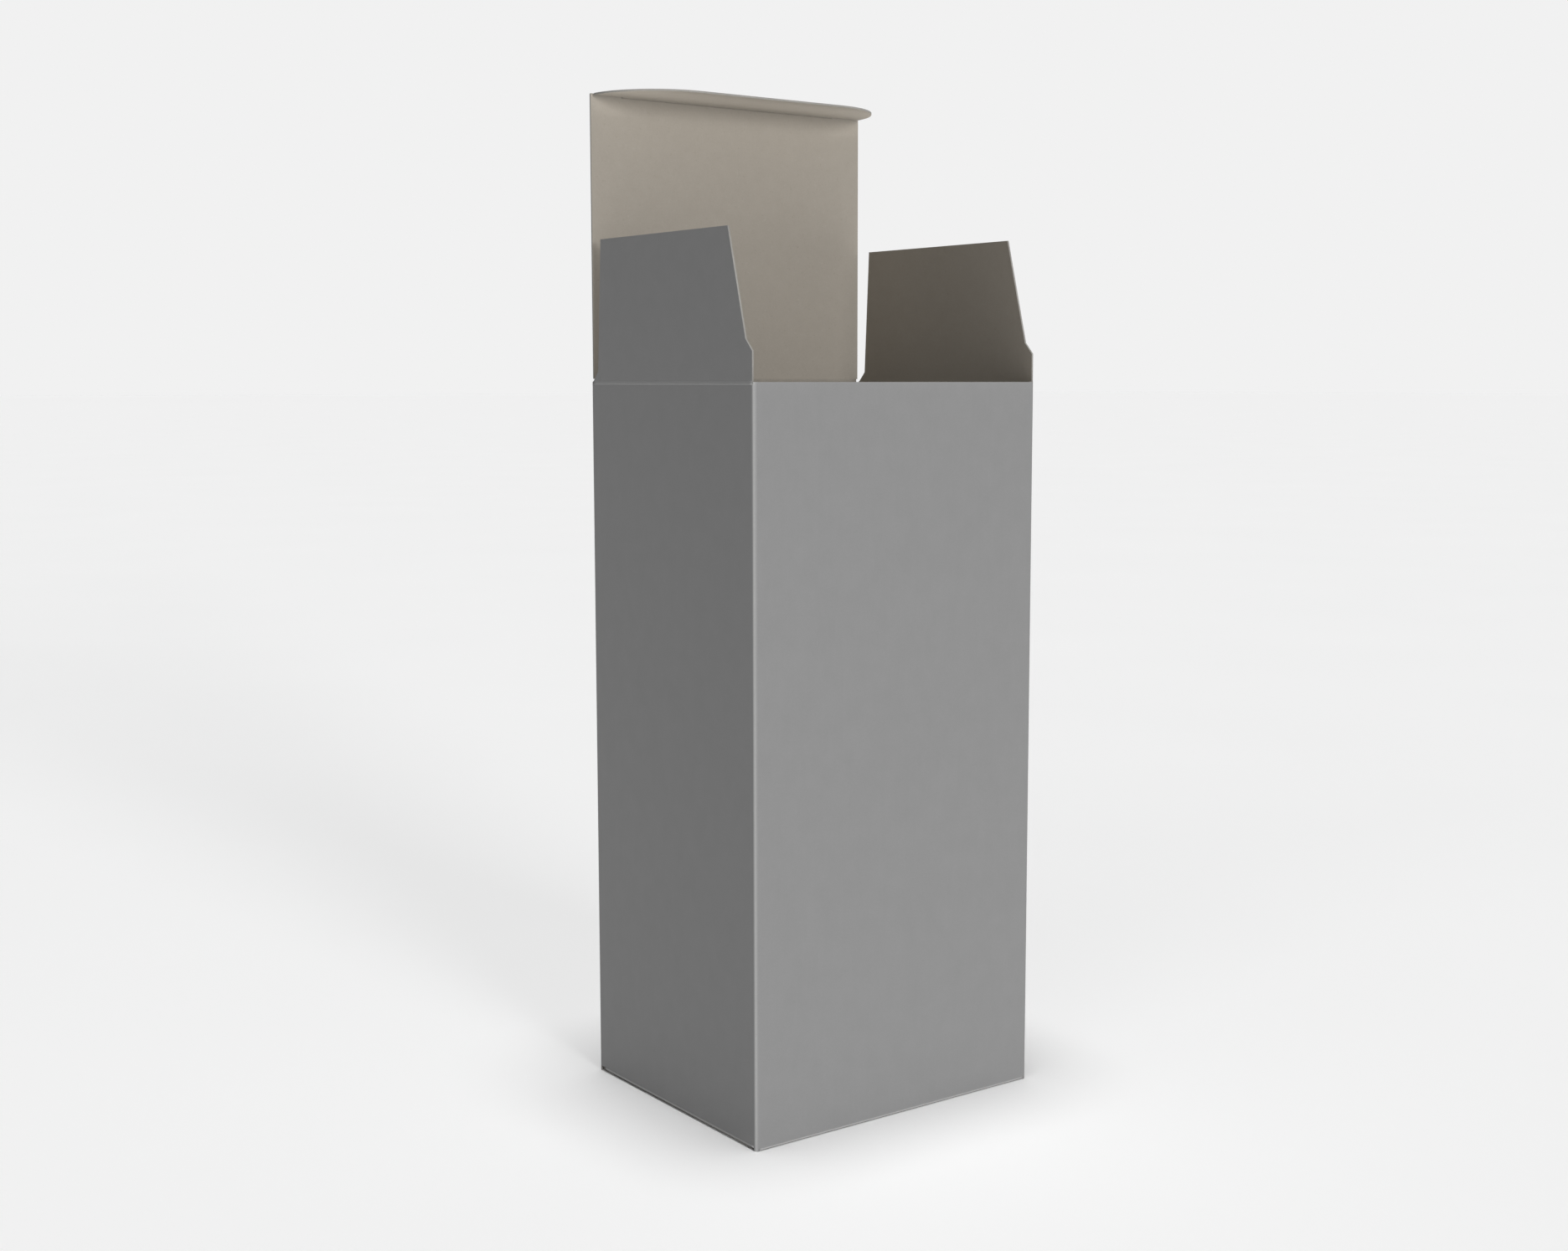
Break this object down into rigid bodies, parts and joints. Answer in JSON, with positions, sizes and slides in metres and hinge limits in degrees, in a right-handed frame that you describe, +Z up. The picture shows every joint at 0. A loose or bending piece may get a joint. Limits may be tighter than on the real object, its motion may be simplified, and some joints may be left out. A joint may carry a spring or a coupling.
{
  "type": "tuck-end folding carton",
  "caption": "Tall paperboard carton with a hinged lid and tuck flap, dust flaps, and a tuck-in base; holds and ships small goods.",
  "frame": {"origin": "middle of the underside, on the surface that the carton stands on", "axes": "+Z up the carton; -Y out of the front wall, whose bottom edge hinges the base panel; +X to the right seen from the front"},
  "size_m": [0.095, 0.08, 0.2795],
  "materials": {
    "paperboard": "solid folding boxboard, 0.5 mm: plain grey coated outside, uncoated warm grey inside, matte",
    "scored_board": "crushed board fibre along a score, matte",
    "glue": "dried carton adhesive, dull"
  },
  "bodies": {
    "carton": {"front_wall": "paperboard", "left_wall": "paperboard", "back_wall": "paperboard", "right_wall": "paperboard", "front_left_fold": "paperboard", "front_right_fold": "paperboard", "back_left_fold": "paperboard", "glue_flap_fold": "paperboard", "glue_flap": "paperboard", "glue_line": "glue", "lid_crease": "scored_board", "left_dust_flap_crease": "scored_board", "right_dust_flap_crease": "scored_board", "base_crease": "scored_board", "left_base_dust_flap_crease": "scored_board", "right_base_dust_flap_crease": "scored_board"},
    "lid": {"lid_panel": "paperboard", "lid_tuck_crease": "scored_board"},
    "lid_tuck": {"lid_tuck_flap": "paperboard"},
    "left_flap": {"left_dust_flap": "paperboard"},
    "right_flap": {"right_dust_flap": "paperboard"},
    "base": {"base_panel": "paperboard", "base_tuck_crease": "scored_board"},
    "base_tuck": {"base_tuck_flap": "paperboard"},
    "left_base_flap": {"left_base_dust_flap": "paperboard"},
    "right_base_flap": {"right_base_dust_flap": "paperboard"}
  },
  "joints": [
    {"name": "lid_hinge", "type": "hinge", "parent": "carton", "child": "lid", "pos_m": [0, 0.03975, 0.20035], "axis": [1, 0, 0], "range_deg": [-110, 90]},
    {"name": "lid_tuck_fold", "type": "hinge", "parent": "lid", "child": "lid_tuck", "pos_m": [0, 0.03975, 0.27925], "axis": [1, 0, 0], "range_deg": [-20, 15]},
    {"name": "left_flap_fold", "type": "hinge", "parent": "carton", "child": "left_flap", "pos_m": [-0.04725, 0, 0.19975], "axis": [0, 1, 0], "range_deg": [-110, 90]},
    {"name": "right_flap_fold", "type": "hinge", "parent": "carton", "child": "right_flap", "pos_m": [0.04725, 0, 0.19975], "axis": [0, -1, 0], "range_deg": [-110, 90]},
    {"name": "base_hinge", "type": "hinge", "parent": "carton", "child": "base", "pos_m": [0, -0.03975, 0.00025], "axis": [-1, 0, 0], "range_deg": [0, 200]},
    {"name": "base_tuck_fold", "type": "hinge", "parent": "base", "child": "base_tuck", "pos_m": [0, 0.03915, 0.00025], "axis": [-1, 0, 0], "range_deg": [0, 85]},
    {"name": "left_base_flap_fold", "type": "hinge", "parent": "carton", "child": "left_base_flap", "pos_m": [-0.04725, 0, 0.00085], "axis": [0, -1, 0], "range_deg": [0, 25]},
    {"name": "right_base_flap_fold", "type": "hinge", "parent": "carton", "child": "right_base_flap", "pos_m": [0.04725, 0, 0.00085], "axis": [0, 1, 0], "range_deg": [0, 25]}
  ],
  "couplings": [
    {"joint": "lid_tuck_fold", "follows": "lid_hinge", "ratio": 0.1666},
    {"joint": "base_tuck_fold", "follows": "base_hinge", "ratio": 0.4}
  ]
}
